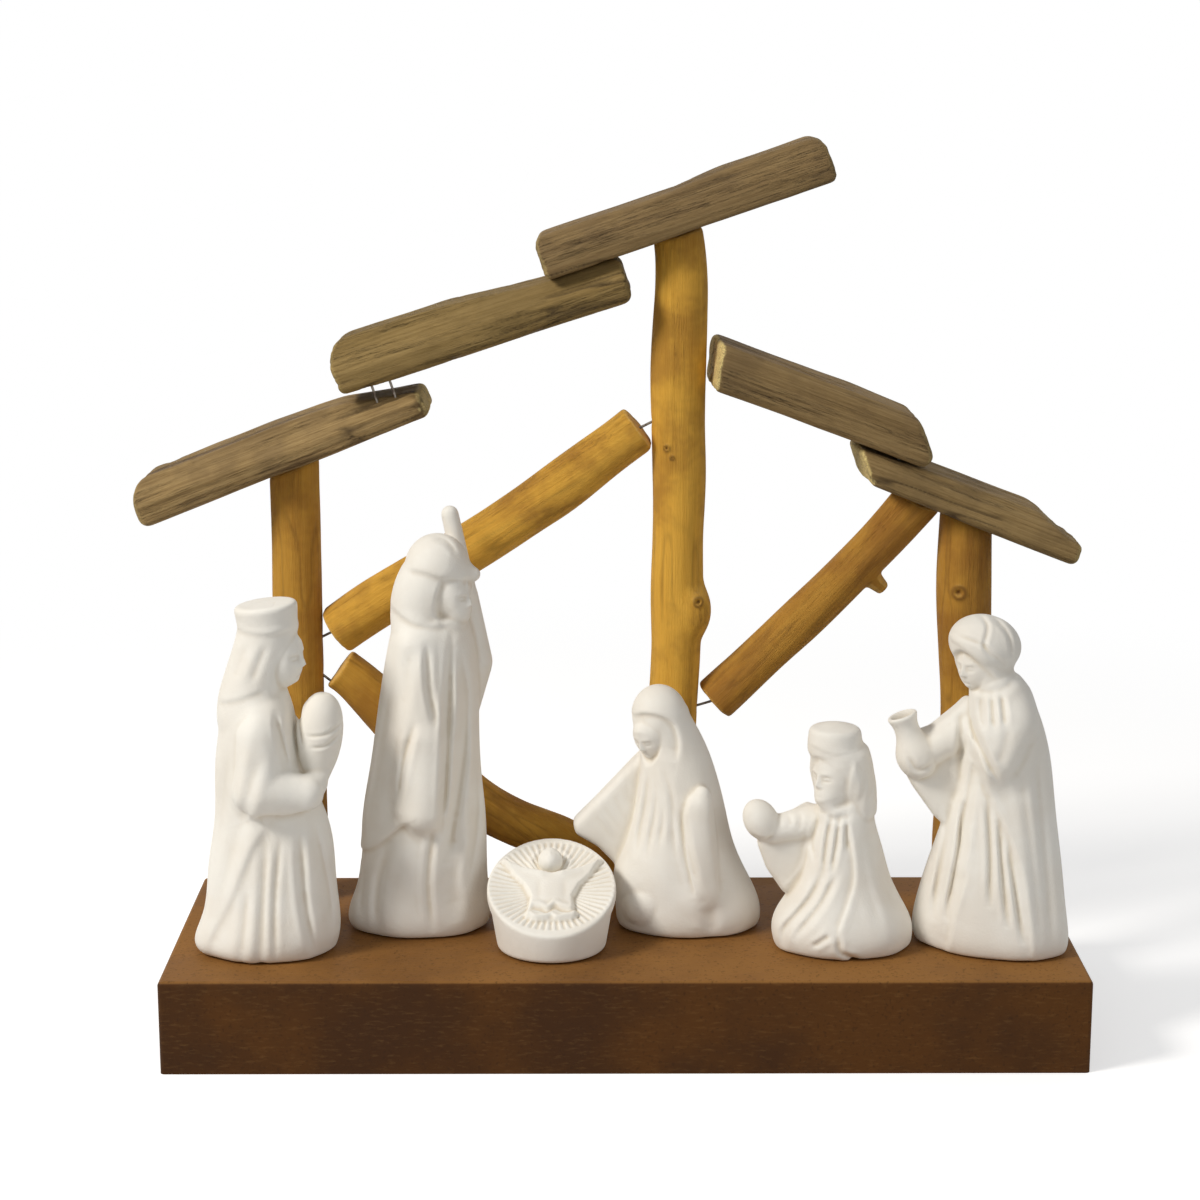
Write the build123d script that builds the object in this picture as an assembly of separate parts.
from build123d import *
import os
from dataclasses import dataclass
from math import asin, cos, pi, radians, sin, tan

# A nativity stable: a board, three peeled-branch posts with three branch braces, five roof
# slats nailed on like steps, and six bisque figures glued to the board.
# Millimetres. X runs along the board, Y to the back, Z up from the board's underside.

# Board
BASE_LENGTH = 240.0
BASE_DEPTH = 85.0
BASE_THICKNESS = 25.0
BASE_EDGE_RADIUS = 1.2
FRAME_SETBACK = 16.5  # from the board's back edge to the middle of the posts

# Posts: place along the board, height on the axis above the board, radius
LEFT_POST_X = -89.3
LEFT_POST_HEIGHT = 122.7
LEFT_POST_RADIUS = 6.95
CENTRE_POST_X = 14.4
CENTRE_POST_HEIGHT = 185.2
CENTRE_POST_RADIUS = 7.3
RIGHT_POST_X = 94.0
RIGHT_POST_HEIGHT = 107.7
RIGHT_POST_RADIUS = 7.35

# Braces: radius, and the height above the board where each end meets a post
UPPER_BRACE_RADIUS = 7.2
UPPER_BRACE_LOW = 76.4
UPPER_BRACE_HIGH = 133.0
UPPER_BRACE_SAG = 2.4
UPPER_BRACE_SLOPE = 33.0
LOWER_BRACE_RADIUS = 6.9
LOWER_BRACE_HIGH = 66.0
LOWER_BRACE_SLOPE = 45.0
LOWER_BRACE_FOOT_X = -4.5
LOWER_BRACE_FOOT_HEIGHT = 5.0
RIGHT_BRACE_RADIUS = 6.4
RIGHT_BRACE_LOW = 56.5
RIGHT_BRACE_SLOPE = 46.5
BRACE_BITE = 0.8  # how far an end is let into its post
KNOT_RADIUS = 2.6
KNOT_LENGTH = 4.2

# Roof slats: all one depth, with worn edges
SLAT_DEPTH = 26.0
SLAT_EDGE_RADIUS = 1.7
SAWN_END_SKEW = 4.0  # degrees off square, on the ends that show their grain

# Fastenings
BRAD_RADIUS = 0.35
BRAD_LENGTH = 24.0
LAP_BRAD_LENGTH = 18.0  # through one slat and into the next
BRAD_SET = 1.0  # how deep a brad is set below the surface
POST_PAIR = (-3.5, 3.5)  # brads into a post, from the middle of the depth
LAP_PAIR = (-6.0, 5.0)  # brads through two slats
PIN_SIDE = -8.8  # the pins that show between the left slats
PINS_AT = (9.0, 14.0)
LAP_INSET = 8.0
LOWER_BRAD_DROP = 5.0  # from the middle of the lower brace's end to its brad
SCREW_SHANK_RADIUS = 2.0
SCREW_HEAD_RADIUS = 4.0
SCREW_LENGTH = 45.0
SCREW_RECESS = 0.5  # from the board's underside to the screw head
SCREW_SLOT_WIDTH = 1.1
SCREW_SLOT_LENGTH = 5.0
SCREW_SLOT_DEPTH = 1.6
SCREW_CLEARANCE = 0.25

# Figures: foot place on the board
STANDING_KING_AT = (-95.0, -16.0)
STAFF_BEARER_AT = (-55.8, 2.0)
INFANT_AT = (-19.3, -16.0)
MOTHER_AT = (17.4, 2.0)
KNEELING_KING_AT = (58.0, -14.0)
TURBANED_KING_AT = (97.7, -14.5)
GLUE_FILM = 0.3
GLUE_SPOT_RADIUS = 8.0
FOLD_COUNT = 7
FOLD_SHARE = 0.45  # of the fold depths given for the robes
SECTION_POINTS = 28

# Infant's cradle
CRADLE_FOOT_RADIUS = 14.3
CRADLE_TAPER = 0.165  # radius gained per millimetre of height
CRADLE_FRONT_HEIGHT = 8.0
CRADLE_BACK_HEIGHT = 24.6
CRADLE_DISH_DEPTH = 1.5
CRADLE_RIM_WIDTH = 2.2
CRADLE_EDGE_RADIUS = 1.0

FRAME_Y = BASE_DEPTH / 2 - FRAME_SETBACK
FIGURE_SEAT = BASE_THICKNESS + GLUE_FILM
UPRIGHT = (Align.CENTER, Align.CENTER, Align.MIN)


# Frame members

@dataclass(frozen=True)
class Post:
    """A round post. Its axis shifts and its radius swells at even steps from foot to top."""
    x: float
    height: float
    radius: float
    shifts: tuple
    swells: tuple

    def axis(self, height):
        """Return the axis's x at a height above the board."""
        steps = len(self.shifts) - 1
        place = height / self.height * steps
        low = min(int(place), steps - 1)
        return self.x + self.shifts[low] + (place - low) * (self.shifts[low + 1] - self.shifts[low])

    def side(self, height, direction):
        """Return the x of the left (-1) or right (+1) side at a height above the board."""
        return self.axis(height) + direction * self.radius

    def top(self):
        """Return the front-view point where the axis meets the roof."""
        return self.axis(self.height), BASE_THICKNESS + self.height


@dataclass(frozen=True)
class Slat:
    """A roof slat in its own front view: s runs along the underside, t is the thickness.
    The ends of the underside are s and a corner radius; the top's points, from the left,
    are s, t and a corner radius. The anchor is a front-view point that lies at anchor_at.
    The bevel is worn off the front's top edge: its crease's t at each end, and its steepness."""
    slope: float
    underside: tuple
    top: tuple
    anchor: tuple
    anchor_at: tuple
    bevel: tuple

    def turn(self, s, t):
        """Turn a step along s and t into a step in x and z."""
        angle = radians(self.slope)
        return s * cos(angle) - t * sin(angle), s * sin(angle) + t * cos(angle)

    def place(self, s, t):
        """Return the front-view point of s, t."""
        step_x, step_z = self.turn(s - self.anchor_at[0], t - self.anchor_at[1])
        return self.anchor[0] + step_x, self.anchor[1] + step_z

    def thickness(self, s):
        """Return the thickness at s."""
        for (low, low_t, low_radius), (high, high_t, high_radius) in zip(self.top, self.top[1:]):
            if s <= high:
                break
        return low_t + (s - low) / (high - low) * (high_t - low_t)

    def crease(self, s):
        """Return the height of the bevel's crease on the front face at s."""
        left, right = self.underside[0][0], self.underside[-1][0]
        return self.bevel[0] + (s - left) / (right - left) * (self.bevel[1] - self.bevel[0])

    def surface(self, s, side):
        """Return the height of the top at s, side from the middle of the depth, bevel included."""
        worn = self.crease(s) + (side + SLAT_DEPTH / 2) * tan(radians(self.bevel[2]))
        return min(self.thickness(s), worn)

    def bevel_plane(self):
        """Return the plane of the bevel, facing up and to the front."""
        left, right = self.underside[0][0], self.underside[-1][0]
        x, z = self.place(left, self.crease(left))
        end_x, end_z = self.place(right, self.crease(right))
        along = Vector(end_x - x, 0, end_z - z).normalized()
        tilt = radians(self.bevel[2])
        facing = Vector(-along.Z * cos(tilt), -sin(tilt), along.X * cos(tilt))
        return Plane(origin=(x, FRAME_Y - SLAT_DEPTH / 2, z), x_dir=along, z_dir=facing)

    def front_plane(self):
        """Return the plane of the front view, in the middle of the depth."""
        x, z = self.place(0.0, 0.0)
        along = self.turn(1.0, 0.0)
        return Plane(origin=(x, FRAME_Y, z), x_dir=(along[0], 0, along[1]), z_dir=(0, -1, 0))

    def underside_plane(self):
        """Return the plane of the underside, facing up."""
        x, z = self.place(0.0, 0.0)
        up = self.turn(0.0, 1.0)
        return Plane(origin=(x, FRAME_Y, z), x_dir=(0, 1, 0), z_dir=(up[0], 0, up[1]))


LEFT_POST = Post(LEFT_POST_X, LEFT_POST_HEIGHT, LEFT_POST_RADIUS,
                 (0.5, 0.3, 0.1, 0.0, 0.0, 0.0), (1.03, 1.0, 1.0, 0.99, 0.99, 1.0))
CENTRE_POST = Post(CENTRE_POST_X, CENTRE_POST_HEIGHT, CENTRE_POST_RADIUS,
                   (-1.6, -1.4, -1.0, 0.0, 0.4, 0.8, 0.4, 1.0, 0.0),
                   (1.03, 1.0, 0.96, 0.97, 1.0, 1.01, 1.04, 1.01, 0.97))
RIGHT_POST = Post(RIGHT_POST_X, RIGHT_POST_HEIGHT, RIGHT_POST_RADIUS,
                  (-0.3, 0.2, 0.8, 0.6, -0.2, -0.4), (1.02, 0.98, 0.95, 0.98, 1.04, 1.0))

PEAK_SLAT = Slat(18.9, ((0.0, 1.9), (81.4, 1.9)),
                 ((0.0, 11.7, 3.2), (40.0, 11.6, 30.0), (54.0, 12.7, 30.0), (81.2, 12.7, 4.2)),
                 CENTRE_POST.top(), (37.0, 0.0), (5.9, 5.3, 48.0))
UPPER_LEFT_SLAT = Slat(18.1, ((0.0, 2.2), (82.5, 2.6)),
                       ((0.3, 14.7, 6.5), (34.0, 14.3, 60.0), (60.0, 12.1, 40.0), (82.3, 12.2, 2.8)),
                       PEAK_SLAT.place(0.0, 0.0), (61.8, 12.1), (6.6, 6.1, 48.0))
LOWER_LEFT_SLAT = Slat(21.6, ((-1.6, 2.6), (82.4, 1.9)),
                       ((-1.0, 12.6, 6.4), (40.0, 12.3, 80.0), (60.0, 11.5, 20.0), (82.0, 7.0, 1.9)),
                       LEFT_POST.top(), (41.4, 0.0), (6.9, 4.4, 48.0))
LOWER_RIGHT_SLAT = Slat(-21.3, ((0.0, 1.9), (61.6, 1.9)),
                        ((-7.4, 8.4, 1.9), (15.0, 9.9, 60.0), (47.5, 10.4, 12.0), (57.0, 6.6, 4.0),
                         (61.4, 6.2, 1.9)),
                        RIGHT_POST.top(), (31.1, 0.0), (6.8, 6.4, 45.0))

# The upper right slat lies on the lower one and butts against the centre post
STEP_INSET = 13.6
STEP_POINT = LOWER_RIGHT_SLAT.place(STEP_INSET, LOWER_RIGHT_SLAT.thickness(STEP_INSET))
UPPER_RIGHT_SLOPE = -20.3
UPPER_RIGHT_THICKNESS = 12.9
UPPER_RIGHT_BUTT_HEIGHT = 148.0
UPPER_RIGHT_LEAN = -3.0  # how far the left end's top reaches past its foot
UPPER_RIGHT_SPAN = ((STEP_POINT[0] - CENTRE_POST.side(UPPER_RIGHT_BUTT_HEIGHT, 1) + BRACE_BITE)
                    / cos(radians(UPPER_RIGHT_SLOPE)))
UPPER_RIGHT_SLAT = Slat(UPPER_RIGHT_SLOPE, ((0.0, 1.9), (UPPER_RIGHT_SPAN, 2.8)),
                        ((UPPER_RIGHT_LEAN, UPPER_RIGHT_THICKNESS, 1.9),
                         (UPPER_RIGHT_SPAN - 26.0, UPPER_RIGHT_THICKNESS, 60.0),
                         (UPPER_RIGHT_SPAN - 7.6, UPPER_RIGHT_THICKNESS - 0.6, 5.0),
                         (UPPER_RIGHT_SPAN - 0.4, 4.4, 3.2)),
                        STEP_POINT, (UPPER_RIGHT_SPAN - 1.0, 0.0), (11.0, 10.6, 40.0))


def make_base():
    """The board, with countersunk holes from below for the post screws."""
    board = Pos(0, 0, BASE_THICKNESS / 2) * Box(BASE_LENGTH, BASE_DEPTH, BASE_THICKNESS)
    upright_edges = board.edges().filter_by(Axis.Z)
    top_edges = board.faces().sort_by(Axis.Z)[-1].edges()
    board = fillet(upright_edges + top_edges, BASE_EDGE_RADIUS)
    for post in (LEFT_POST, CENTRE_POST, RIGHT_POST):
        board -= screw_hole(post)
    return board


def make_post(post, slat):
    """A branch post, lofted through its stations and cut to the slope of the slat on it."""
    step = post.height / (len(post.shifts) - 1)
    sections = []
    for index, (shift, swell) in enumerate(zip(post.shifts, post.swells)):
        middle = (post.x + shift, FRAME_Y, BASE_THICKNESS + index * step)
        sections.append(Pos(*middle) * Circle(post.radius * swell))
    spare_top = Pos(0, 0, step) * sections[-1]
    body = split(loft(sections + [spare_top]), bisect_by=slat.underside_plane(), keep=Keep.BOTTOM)
    return body - screw_pilot(post)


def make_branch(points, radius, swells):
    """A branch along a bent axis in the plane of the frame; its radius swells at even steps."""
    axis = Spline(*[(x, FRAME_Y, z) for x, z in points])
    sections = []
    for index, swell in enumerate(swells):
        share = index / (len(swells) - 1)
        plane = Plane(origin=axis @ share, x_dir=(0, 1, 0), z_dir=axis % share)
        sections.append(plane * Circle(radius * swell))
    return loft(sections)


def between(start, end, share, drop):
    """A point at a share of the line from start to end, dropped below it."""
    return start[0] + share * (end[0] - start[0]), start[1] + share * (end[1] - start[1]) - drop


def upper_brace_ends():
    """The upper left brace's end points, with an end corner let into each post."""
    lean = UPPER_BRACE_RADIUS * sin(radians(UPPER_BRACE_SLOPE))
    start_x = LEFT_POST.side(UPPER_BRACE_LOW, 1) + lean - BRACE_BITE
    end_x = CENTRE_POST.side(UPPER_BRACE_HIGH, -1) - lean + BRACE_BITE
    return (start_x, BASE_THICKNESS + UPPER_BRACE_LOW), (end_x, BASE_THICKNESS + UPPER_BRACE_HIGH)


def make_upper_brace():
    """The upper left brace: a branch with a slight sag, square-cut at both ends."""
    start, end = upper_brace_ends()
    points = [start]
    for share, sag in ((0.22, 0.1), (0.5, 0.9), (0.8, 0.6)):
        points.append(between(start, end, share, sag * UPPER_BRACE_SAG))
    points.append(end)
    return make_branch(points, UPPER_BRACE_RADIUS, (0.98, 1.01, 1.0, 0.99, 1.0, 0.98, 0.97))


def lower_brace_start():
    """The lower left brace's upper end, with a corner let into the left post."""
    lean = LOWER_BRACE_RADIUS * sin(radians(LOWER_BRACE_SLOPE))
    return LEFT_POST.side(LOWER_BRACE_HIGH, 1) + lean - BRACE_BITE, BASE_THICKNESS + LOWER_BRACE_HIGH


def make_lower_brace():
    """The lower left brace: an S-curved branch from the left post down to the board."""
    start = lower_brace_start()
    foot = (LOWER_BRACE_FOOT_X, BASE_THICKNESS + LOWER_BRACE_FOOT_HEIGHT)
    points = [start]
    for share, drop in ((0.25, 3.6), (0.5, 7.6), (0.68, 3.6), (0.86, -1.6)):
        points.append(between(start, foot, share, drop))
    points.append(foot)
    branch = make_branch(points, LOWER_BRACE_RADIUS, (0.9, 0.96, 1.02, 1.05, 1.04, 0.98, 0.97, 0.95, 0.88))
    return split(branch, bisect_by=Plane.XY.offset(BASE_THICKNESS), keep=Keep.TOP)


def right_brace_start():
    """The right brace's lower end, with a corner let into the centre post."""
    lean = RIGHT_BRACE_RADIUS * sin(radians(RIGHT_BRACE_SLOPE))
    return CENTRE_POST.side(RIGHT_BRACE_LOW, 1) + lean - BRACE_BITE, BASE_THICKNESS + RIGHT_BRACE_LOW


def make_right_brace():
    """The right brace: a branch with a trimmed twig, cut off under the lower right slat."""
    start = right_brace_start()
    slope = radians(RIGHT_BRACE_SLOPE)
    reach = RIGHT_POST.side(RIGHT_POST_HEIGHT, -1) - start[0]
    end = (start[0] + reach, start[1] + reach * tan(slope))
    points = [start]
    for share, drop in ((0.3, 1.8), (0.62, 2.8), (0.84, 2.0)):
        points.append(between(start, end, share, drop))
    points.append(end)
    branch = make_branch(points, RIGHT_BRACE_RADIUS, (1.0, 0.99, 1.0, 0.99, 0.98, 1.03, 1.06))
    knot_x, knot_z = between(start, end, 0.64, 2.8)
    out = Plane(origin=(knot_x, FRAME_Y, knot_z), z_dir=(sin(slope), 0, -cos(slope)))
    branch += out * Cone(KNOT_RADIUS * 1.5, KNOT_RADIUS * 0.8, RIGHT_BRACE_RADIUS + KNOT_LENGTH, align=UPRIGHT)
    return split(branch, bisect_by=LOWER_RIGHT_SLAT.underside_plane(), keep=Keep.BOTTOM)


def make_slat(slat, left_end_sawn=False):
    """A roof slat: its front outline drawn through the depth, with worn edges and a bevel."""
    points = [(s, 0.0) for s, radius in slat.underside]
    radii = [radius for s, radius in slat.underside]
    for s, t, radius in reversed(slat.top):
        points.append((s, t))
        radii.append(radius)
    outline = make_face(FilletPolyline(*points, radius=radii, close=True))
    body = extrude(slat.front_plane() * outline, SLAT_DEPTH / 2, both=True)
    by_depth = body.faces().sort_by(Axis.Y)
    body = fillet(by_depth[0].edges() + by_depth[-1].edges(), SLAT_EDGE_RADIUS)
    body = split(body, bisect_by=slat.bevel_plane(), keep=Keep.BOTTOM)
    if left_end_sawn:
        body = split(body, bisect_by=sawn_plane(slat), keep=Keep.TOP)
    return body


def sawn_plane(slat):
    """The plane of a slat's sawn left end, a little off square so that it faces the front."""
    low = slat.place(slat.underside[0][0], 0.0)
    high = slat.place(slat.top[0][0], slat.top[0][1])
    rise = Vector(high[0] - low[0], 0, high[1] - low[1])
    depth = Vector(-tan(radians(SAWN_END_SKEW)), 1, 0)
    back = Vector(low[0], FRAME_Y + SLAT_DEPTH / 2, low[1])
    return Plane(origin=back, z_dir=depth.cross(rise))


# Fastenings

def screw_hole(post):
    """The clearance hole and countersink for a post's screw, as a solid to cut."""
    sink = SCREW_HEAD_RADIUS - SCREW_SHANK_RADIUS
    radius = SCREW_SHANK_RADIUS + SCREW_CLEARANCE
    head = SCREW_HEAD_RADIUS + SCREW_CLEARANCE
    hole = Cylinder(radius, BASE_THICKNESS, align=UPRIGHT)
    hole += Cylinder(head, SCREW_RECESS, align=UPRIGHT)
    hole += Pos(0, 0, SCREW_RECESS) * Cone(head, radius, sink, align=UPRIGHT)
    return Pos(post.axis(0.0), FRAME_Y, 0) * hole


def screw_pilot(post):
    """The pilot hole in a post, as tight as the screw."""
    depth = SCREW_LENGTH + SCREW_RECESS - BASE_THICKNESS
    return Pos(post.axis(0.0), FRAME_Y, BASE_THICKNESS) * Cylinder(SCREW_SHANK_RADIUS, depth, align=UPRIGHT)


def make_screw(post):
    """A countersunk wood screw with a cross slot, driven up through the board."""
    sink = SCREW_HEAD_RADIUS - SCREW_SHANK_RADIUS
    screw = Cylinder(SCREW_SHANK_RADIUS, SCREW_LENGTH, align=UPRIGHT)
    screw += Cone(SCREW_HEAD_RADIUS, SCREW_SHANK_RADIUS, sink, align=UPRIGHT)
    for quarter in (0, 90):
        slot = Box(SCREW_SLOT_LENGTH, SCREW_SLOT_WIDTH, SCREW_SLOT_DEPTH, align=UPRIGHT)
        screw -= Rot(0, 0, quarter) * slot
    return Pos(post.axis(0.0), FRAME_Y, SCREW_RECESS) * screw


def make_brad(start, direction, side=0.0, length=BRAD_LENGTH):
    """A headless brad from a front-view start along a front-view direction."""
    plane = Plane(origin=(start[0], FRAME_Y + side, start[1]), z_dir=(direction[0], 0, direction[1]))
    return plane * Cylinder(BRAD_RADIUS, length, align=UPRIGHT)


def slat_brads(slat, s, sides, length=BRAD_LENGTH):
    """Brads driven square through a slat from its top at s."""
    brads = []
    for side in sides:
        start = slat.place(s, slat.surface(s, side) - BRAD_SET)
        brads.append(make_brad(start, slat.turn(0.0, -1.0), side, length))
    return brads


def brace_brad(brace_end, radius, direction):
    """A brad across the corner between a brace's end and a post, half in each."""
    run = Vector(*direction).normalized()
    back = radius / 2 + BRAD_LENGTH / 2
    side = 1 if run.X > 0 else -1
    start = (brace_end[0] - side * radius / 2 - run.X * (back - radius / 2), brace_end[1] - run.Y * back)
    return make_brad(start, (run.X, run.Y))


def make_brads():
    """All the brads: through the slats, and across the corners of the braces."""
    brads = slat_brads(PEAK_SLAT, LAP_INSET, LAP_PAIR, LAP_BRAD_LENGTH)
    brads += slat_brads(UPPER_RIGHT_SLAT, UPPER_RIGHT_SPAN - LAP_INSET, LAP_PAIR, LAP_BRAD_LENGTH)
    for slat in (PEAK_SLAT, LOWER_LEFT_SLAT, LOWER_RIGHT_SLAT):
        brads += slat_brads(slat, slat.anchor_at[0], POST_PAIR)
    for place in PINS_AT:
        brads += slat_brads(UPPER_LEFT_SLAT, place, (PIN_SIDE,), LAP_BRAD_LENGTH)
    low, high = upper_brace_ends()
    brads.append(brace_brad(low, UPPER_BRACE_RADIUS, (1.0, 0.5)))
    brads.append(brace_brad(high, UPPER_BRACE_RADIUS, (-1.0, -0.5)))
    end_x, end_z = lower_brace_start()
    brads.append(brace_brad((end_x, end_z - LOWER_BRAD_DROP), LOWER_BRACE_RADIUS, (1.0, -0.8)))
    brads.append(brace_brad(right_brace_start(), RIGHT_BRACE_RADIUS, (1.0, 0.3)))
    return brads


# Figures, each in its own frame with its foot at the origin

def section(height, middle, half, fold_depth, turn):
    """A level section of a robe: an ellipse whose edge waves in and out with the folds.
    It starts and ends at the back."""
    points = []
    for index in range(SECTION_POINTS):
        angle = pi / 2 + 2 * pi * index / SECTION_POINTS
        wave = 1 + FOLD_SHARE * fold_depth * cos(FOLD_COUNT * angle)
        points.append((half[0] * wave * cos(angle), half[1] * wave * sin(angle)))
    return Pos(middle[0], middle[1], height) * Rot(0, 0, turn) * make_face(Spline(*points, periodic=True))


def robe(stations, turn=0.0):
    """A robe lofted through stations of height, middle x and y, half width, half depth and fold."""
    sections = []
    for height, x, y, half_width, half_depth, fold_depth in stations:
        sections.append(section(height, (x, y), (half_width, half_depth), fold_depth, turn))
    return loft(sections)


def ball(middle, half, tilt=0.0):
    """An ellipsoid, leaning about the depth axis."""
    return Pos(*middle) * Rot(0, tilt, 0) * scale(Sphere(1.0), half)


def limb(start, end, start_radius, end_radius):
    """A round-ended tapered limb between two points."""
    axis = Vector(*end) - Vector(*start)
    length = axis.length
    lean = asin((start_radius - end_radius) / length)
    low_rim = (start_radius * cos(lean), start_radius * sin(lean))
    high_rim = (end_radius * cos(lean), length + end_radius * sin(lean))
    low_angle = (lean - pi / 2) / 2
    high_angle = (lean + pi / 2) / 2
    low_bulge = (start_radius * cos(low_angle), start_radius * sin(low_angle))
    high_bulge = (end_radius * cos(high_angle), length + end_radius * sin(high_angle))
    outline = ThreePointArc((0, -start_radius), low_bulge, low_rim)
    outline += Line(low_rim, high_rim)
    outline += ThreePointArc(high_rim, high_bulge, (0, length + end_radius))
    outline += Line((0, length + end_radius), (0, -start_radius))
    return Plane(origin=start, z_dir=axis) * revolve(Plane.XZ * make_face(outline), Axis.Z)


def turned(points, middle, tilt):
    """A vessel turned from radius and height points, leaning about the depth axis."""
    outline = Line((0, points[0][1]), points[0]) + Spline(*points)
    outline += Polyline(points[-1], (0, points[-1][1]), (0, points[0][1]))
    return Pos(*middle) * Rot(0, tilt, 0) * revolve(Plane.XZ * make_face(outline), Axis.Z)


def drape(points, y, thickness, radius):
    """A hanging sheet of cloth: a front outline given a thickness and rounded edges."""
    outline = make_face(FilletPolyline(*points, radius=radius, close=True))
    front = Plane(origin=(0, y, 0), x_dir=(1, 0, 0), z_dir=(0, -1, 0))
    sheet = extrude(front * outline, thickness / 2, both=True)
    by_depth = sheet.faces().sort_by(Axis.Y)
    return fillet(by_depth[0].edges() + by_depth[-1].edges(), thickness * 0.25)


def crown(middle, foot_radius, rim_radius, height, tilt):
    """A flared round crown with a softened rim."""
    body = Cone(foot_radius, rim_radius, height, align=UPRIGHT)
    rim = body.edges().filter_by(GeomType.CIRCLE).sort_by(Axis.Z)[-1]
    return Pos(*middle) * Rot(0, tilt, 0) * fillet(rim, height * 0.16)


def joined(forms):
    """Fuse a figure's forms one after the other into one casting."""
    casting = forms[0]
    for form in forms[1:]:
        casting += form
    return casting


def make_standing_king():
    """A king in a veil and crown, facing right, one arm under a lidded jar."""
    figure = robe(((0.0, 0.5, 0.0, 17.6, 13.8, 0.03), (3.0, 0.0, 0.0, 19.0, 15.0, 0.035),
                   (9.0, 1.2, 0.0, 18.2, 14.6, 0.04), (18.0, 1.7, 0.2, 16.9, 13.8, 0.04),
                   (32.0, 2.2, 0.4, 15.4, 12.9, 0.03), (46.0, 0.2, 0.6, 12.4, 12.0, 0.02),
                   (58.0, -0.8, 0.8, 10.4, 11.6, 0.012), (66.0, -1.0, 0.8, 9.4, 10.0, 0.0),
                   (72.0, -0.6, 0.6, 7.4, 7.4, 0.0)))
    veil = robe(((60.0, -3.2, 0.0, 7.6, 8.6, 0.0), (68.0, -2.4, 0.0, 8.4, 8.8, 0.0),
                 (78.0, 0.4, 0.0, 8.2, 8.2, 0.0), (88.0, 2.8, 0.0, 8.0, 8.0, 0.0)))
    head = ball((4.6, 0.0, 79.0), (7.0, 6.6, 8.6))
    arms = [limb((0.0, -9.5, 60.0), (-0.5, -11.0, 45.5), 4.6, 4.8)]
    arms.append(limb((-0.5, -11.0, 45.5), (12.6, -9.6, 44.6), 4.8, 3.6))
    arms.append(limb((11.0, -9.0, 44.9), (15.0, -5.0, 46.4), 3.3, 2.6))
    arms.append(limb((2.0, 8.0, 62.0), (12.5, 4.0, 50.5), 4.6, 3.8))
    jar = turned(((2.4, -12.0), (4.6, -7.0), (5.9, 0.5), (5.5, 6.0), (3.8, 10.2), (1.6, 12.0)),
                 (15.6, -1.5, 57.8), 6.0)
    return joined([figure, veil, head, crown((2.8, 0.0, 87.0), 7.6, 8.4, 6.4, -6.0), *arms, jar])


def make_staff_bearer():
    """A bearded man in a headcloth, one arm raised round a staff, the other sleeve hanging."""
    figure = robe(((0.0, 0.3, 0.0, 18.0, 12.6, 0.035), (2.6, 0.0, 0.0, 19.2, 13.8, 0.04),
                   (10.0, 0.8, 0.2, 18.0, 13.4, 0.045), (18.0, 1.4, 0.4, 17.0, 13.0, 0.045),
                   (30.0, 1.6, 0.8, 16.6, 12.4, 0.04), (44.0, 2.3, 1.0, 14.9, 11.8, 0.04),
                   (60.0, 3.4, 1.2, 13.5, 11.2, 0.03), (74.0, 4.4, 1.4, 12.2, 10.6, 0.015),
                   (82.0, 4.6, 1.4, 10.6, 9.2, 0.0), (87.0, 4.6, 1.2, 8.4, 7.4, 0.0)))
    headcloth = robe(((80.0, 0.6, 2.0, 6.6, 7.0, 0.0), (86.5, 2.0, 1.2, 8.4, 8.6, 0.0),
                      (92.0, 3.4, 0.8, 9.2, 9.0, 0.0), (100.0, 5.8, 0.6, 8.4, 8.6, 0.0)))
    headcloth += ball((6.4, 0.4, 99.2), (8.6, 8.6, 8.8))
    peak = limb((9.0, -0.6, 98.4), (15.2, -0.8, 97.4), 4.4, 1.8)
    head = ball((8.8, -0.8, 94.0), (7.4, 6.6, 8.6))
    raised_arm = limb((8.0, 6.0, 82.0), (15.6, 6.0, 72.0), 5.6, 5.0)
    raised_arm += limb((15.6, 6.0, 72.0), (13.2, 7.2, 90.0), 5.0, 3.6)
    cuff = limb((15.4, 5.6, 71.0), (13.0, 4.6, 58.0), 5.0, 3.6)
    staff = limb((13.6, 8.2, 92.0), (9.4, 9.2, 111.6), 2.6, 2.4)
    sleeve = drape(((-4.2, 47.0), (2.6, 59.4), (8.0, 53.0), (7.4, 42.0), (1.4, 30.4), (-4.6, 35.0)),
                   -10.0, 8.0, 3.0)
    return joined([figure, headcloth, head, peak, raised_arm, cuff, staff, sleeve])


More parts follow.
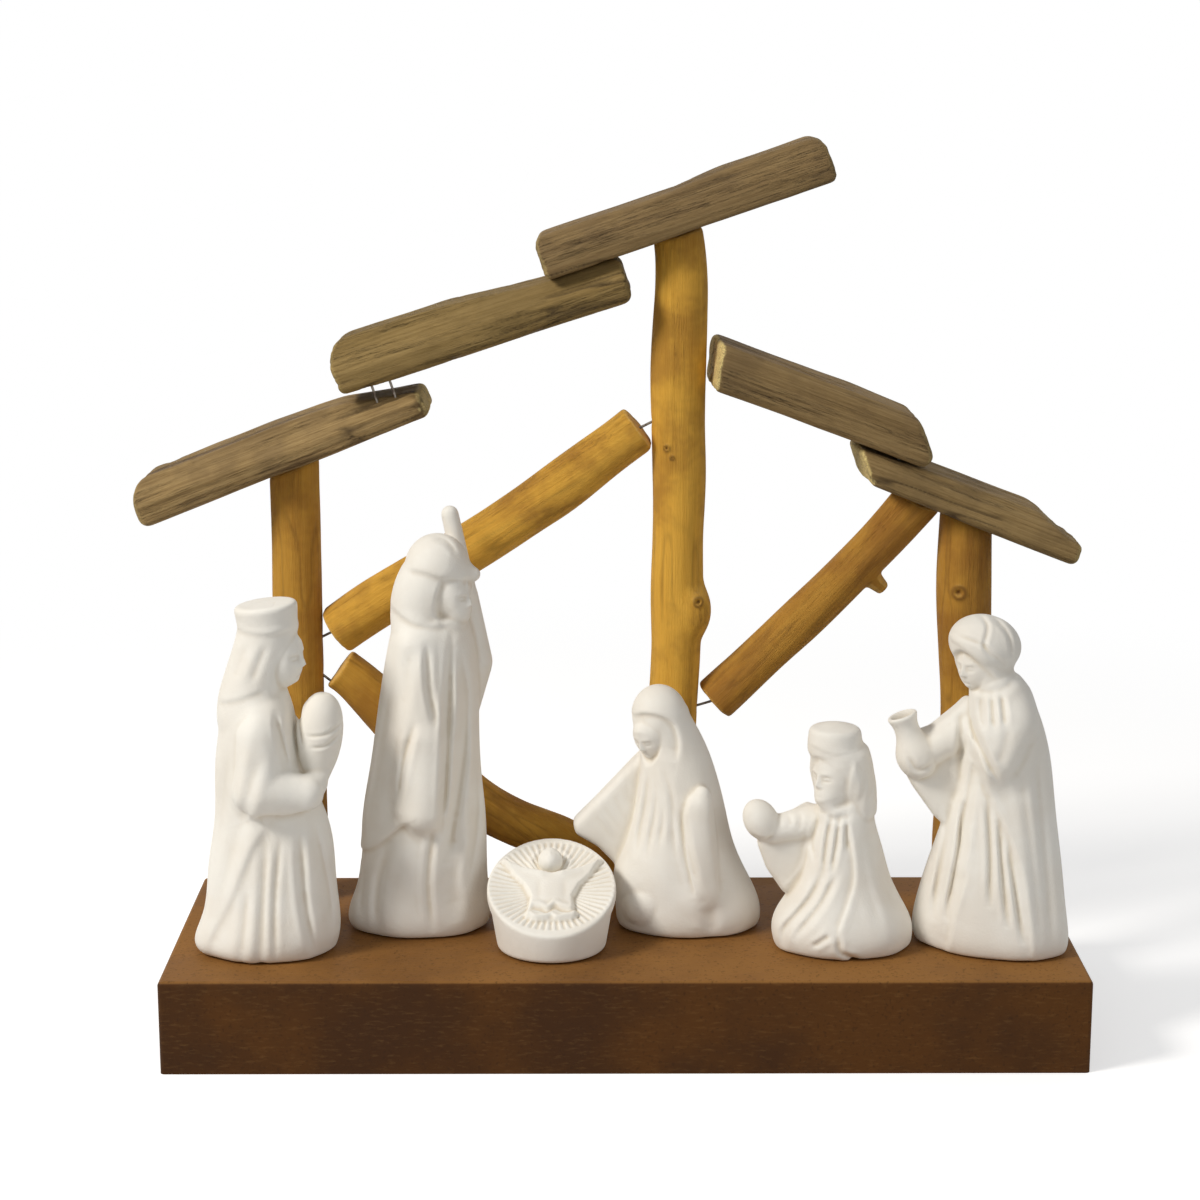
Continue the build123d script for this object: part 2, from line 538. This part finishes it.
def make_mother():
    """A kneeling woman in a hooded cloak, one arm spread, the other hand raised."""
    figure = robe(((0.0, 0.4, 0.0, 18.6, 12.8, 0.02), (3.0, 0.0, 0.0, 19.6, 14.0, 0.025),
                   (9.0, -0.8, 0.2, 19.2, 13.8, 0.025), (14.5, -2.2, 0.4, 18.0, 13.2, 0.025),
                   (21.0, -2.4, 0.6, 15.2, 12.4, 0.02), (31.0, -2.2, 0.8, 12.4, 11.2, 0.015),
                   (41.0, -2.8, 0.8, 10.6, 10.0, 0.01), (49.0, -3.8, 0.6, 9.0, 8.6, 0.0),
                   (56.0, -6.0, 0.2, 7.8, 7.8, 0.0), (61.0, -7.4, 0.0, 7.2, 7.4, 0.0)))
    hood = ball((-7.8, -0.2, 58.6), (7.5, 7.6, 8.4), -12.0)
    face = ball((-9.4, -1.6, 55.2), (5.6, 5.8, 7.0))
    spread_arm = drape(((-10.0, 50.0), (-15.6, 44.2), (-24.6, 34.4), (-31.2, 27.6), (-30.4, 24.4),
                        (-24.4, 20.8), (-17.0, 13.0), (-4.0, 22.0)), 5.0, 8.0, 1.4)
    raised_arm = limb((3.4, -8.6, 10.0), (2.4, -9.4, 36.5), 5.2, 3.3)
    raised_arm += limb((2.4, -9.4, 36.5), (3.4, -9.2, 39.4), 3.0, 2.0)
    knee = limb((-2.0, -4.0, 15.0), (-11.0, -5.4, 7.4), 8.0, 7.0)
    return joined([figure, hood, face, spread_arm, raised_arm, knee])


def make_infant():
    """A swaddled infant in relief, arms spread, in a round cradle with a slanted top."""
    height = CRADLE_BACK_HEIGHT + CRADLE_EDGE_RADIUS
    cradle = Cone(CRADLE_FOOT_RADIUS, CRADLE_FOOT_RADIUS + CRADLE_TAPER * height, height, align=UPRIGHT)
    cradle = fillet(cradle.edges().filter_by(GeomType.CIRCLE).sort_by(Axis.Z)[0], CRADLE_EDGE_RADIUS)
    rise = CRADLE_BACK_HEIGHT - CRADLE_FRONT_HEIGHT
    run = 2 * CRADLE_FOOT_RADIUS + CRADLE_TAPER * (CRADLE_FRONT_HEIGHT + CRADLE_BACK_HEIGHT)
    middle = (0, CRADLE_TAPER * rise / 2, CRADLE_FRONT_HEIGHT + rise / 2)
    slant = Plane(origin=middle, x_dir=(1, 0, 0), z_dir=(0, -rise, run))
    cradle = split(cradle, bisect_by=slant, keep=Keep.BOTTOM)
    dish_width = run / 2 - CRADLE_RIM_WIDTH
    dish_radius = (dish_width ** 2 + CRADLE_DISH_DEPTH ** 2) / (2 * CRADLE_DISH_DEPTH)
    cradle -= slant * Pos(0, 0, dish_radius - CRADLE_DISH_DEPTH) * Sphere(dish_radius)
    relief = [ball((-0.4, 7.6, 0.6), (3.8, 4.0, 3.2))]
    relief.append(ball((0.0, 0.4, -0.6), (5.2, 6.4, 2.4)))
    relief.append(ball((0.0, -6.4, -0.6), (8.0, 4.6, 2.2)))
    for side in (-1, 1):
        relief.append(limb((side * 3.0, 3.4, 0.0), (side * 12.0, 8.2, 0.2), 1.9, 1.4))
    return joined([cradle] + [slant * form for form in relief])


def make_kneeling_king():
    """A kneeling king with long hair and a crown, holding out a round gift."""
    figure = robe(((0.0, 0.0, 0.0, 18.0, 13.6, 0.03), (3.4, -0.3, 0.0, 18.7, 15.0, 0.035),
                   (8.0, -0.3, 0.2, 17.8, 14.4, 0.04), (13.0, 0.0, 0.6, 14.8, 12.8, 0.045),
                   (19.0, 0.4, 1.0, 11.7, 11.2, 0.04), (28.0, 0.2, 1.2, 9.4, 9.6, 0.03),
                   (36.0, 0.2, 1.0, 7.6, 8.0, 0.0), (41.0, 0.4, 0.8, 6.0, 6.4, 0.0)))
    head = ball((-1.4, -0.4, 46.4), (7.6, 6.8, 9.6), -6.0)
    hair = robe(((36.0, 4.6, 1.0, 4.0, 6.6, 0.0), (42.0, 3.6, 0.6, 4.8, 7.4, 0.0),
                 (48.0, 1.2, 0.0, 6.2, 7.6, 0.0), (54.0, -1.4, 0.0, 6.8, 7.2, 0.0)))
    sleeve = drape(((-8.0, 38.4), (-16.0, 33.6), (-19.6, 34.4), (-22.8, 27.0), (-20.4, 20.4),
                    (-15.4, 13.0), (-6.0, 16.0)), 4.0, 8.0, 1.4)
    arm = limb((-8.0, 3.0, 33.0), (-18.5, 1.5, 31.0), 4.6, 3.6)
    gift = ball((-21.9, 1.0, 33.8), (4.6, 4.6, 6.0), -28.0)
    return joined([figure, head, hair, crown((-3.0, 0.0, 53.0), 6.4, 6.8, 6.4, 1.0), sleeve, arm, gift])


def make_turbaned_king():
    """A king in a turban and long cloak, holding out a flared pot."""
    figure = robe(((0.0, -0.4, 0.0, 20.0, 12.8, 0.03), (2.6, -0.5, 0.0, 20.9, 13.8, 0.035),
                   (10.0, -0.5, 0.2, 20.3, 13.6, 0.04), (19.0, 0.1, 0.6, 18.5, 13.2, 0.045),
                   (34.0, 1.5, 1.0, 15.0, 12.0, 0.04), (43.0, 2.1, 1.0, 13.2, 11.4, 0.035),
                   (56.0, 2.1, 0.8, 11.0, 10.4, 0.02), (66.0, 1.0, 0.4, 8.4, 8.8, 0.0),
                   (73.0, -1.0, 0.0, 5.8, 6.2, 0.0)), -25.0)
    head = ball((-4.8, -0.4, 78.4), (7.2, 6.8, 8.2), -8.0)
    turban = ball((-4.2, 0.0, 82.0), (9.6, 8.8, 7.6), 14.0)
    sleeve = drape(((-6.0, 69.0), (-10.8, 64.0), (-17.2, 58.6), (-24.0, 56.0), (-26.2, 51.0),
                    (-21.8, 43.0), (-15.8, 34.6), (-8.0, 28.0)), 4.0, 8.0, 1.4)
    far_arm = limb((-6.0, 3.0, 60.0), (-18.0, 1.6, 52.5), 5.0, 4.2)
    pot = turned(((2.6, -9.0), (5.0, -5.4), (5.2, -1.6), (3.7, 2.2), (3.3, 4.8), (4.7, 8.8)),
                 (-22.2, 1.0, 54.6), -20.0)
    near_arm = limb((3.4, -8.2, 62.0), (-1.6, -9.8, 52.0), 5.4, 3.2)
    near_arm += limb((-1.6, -9.8, 52.0), (-4.6, -9.4, 62.0), 3.2, 2.6)
    return joined([figure, head, turban, sleeve, far_arm, pot, near_arm])


def glue_spot(place):
    """A thin film of glue between a figure's foot and the board."""
    film = Cylinder(GLUE_SPOT_RADIUS, GLUE_FILM, align=UPRIGHT)
    return Pos(place[0], place[1], BASE_THICKNESS) * film


def build_frame():
    """Return the wooden pieces by name, each cut where the one it meets lies."""
    left_post = make_post(LEFT_POST, LOWER_LEFT_SLAT)
    centre_post = make_post(CENTRE_POST, PEAK_SLAT)
    right_post = make_post(RIGHT_POST, LOWER_RIGHT_SLAT)
    upper_brace = make_upper_brace() - left_post - centre_post
    peak = make_slat(PEAK_SLAT)
    upper_left = make_slat(UPPER_LEFT_SLAT) - peak
    upper_right = make_slat(UPPER_RIGHT_SLAT, left_end_sawn=True) - centre_post
    return {
        "base_board": make_base(),
        "left_post": left_post,
        "centre_post": centre_post,
        "right_post": right_post,
        "upper_left_brace": upper_brace,
        "lower_left_brace": make_lower_brace() - left_post - upper_brace - centre_post,
        "right_brace": make_right_brace() - centre_post - right_post,
        "roof_slat_peak": peak,
        "roof_slat_upper_left": upper_left,
        "roof_slat_lower_left": make_slat(LOWER_LEFT_SLAT) - upper_left,
        "roof_slat_upper_right": upper_right,
        "roof_slat_lower_right": make_slat(LOWER_RIGHT_SLAT, left_end_sawn=True) - upper_right,
    }


def build_figures():
    """Return the figures by name, with their places on the board."""
    return {
        "standing_king": (make_standing_king(), STANDING_KING_AT),
        "staff_bearer": (make_staff_bearer(), STAFF_BEARER_AT),
        "infant_in_cradle": (make_infant(), INFANT_AT),
        "kneeling_mother": (make_mother(), MOTHER_AT),
        "kneeling_king": (make_kneeling_king(), KNEELING_KING_AT),
        "turbaned_king": (make_turbaned_king(), TURBANED_KING_AT),
    }


def build_parts():
    """Return every node's shape by name."""
    brads = make_brads()
    parts = {name: piece - brads for name, piece in build_frame().items()}
    parts["brads"] = Compound(children=brads)
    parts["post_screws"] = Compound(children=[make_screw(post) for post in (LEFT_POST, CENTRE_POST, RIGHT_POST)])
    spots = []
    for name, (figure, place) in build_figures().items():
        parts[name] = Pos(place[0], place[1], FIGURE_SEAT) * figure
        spots.append(glue_spot(place))
    parts["glue_spots"] = Compound(children=spots)
    return parts


os.makedirs("parts", exist_ok=True)
for part_name, shape in build_parts().items():
    export_step(shape, f"parts/{part_name}.step")
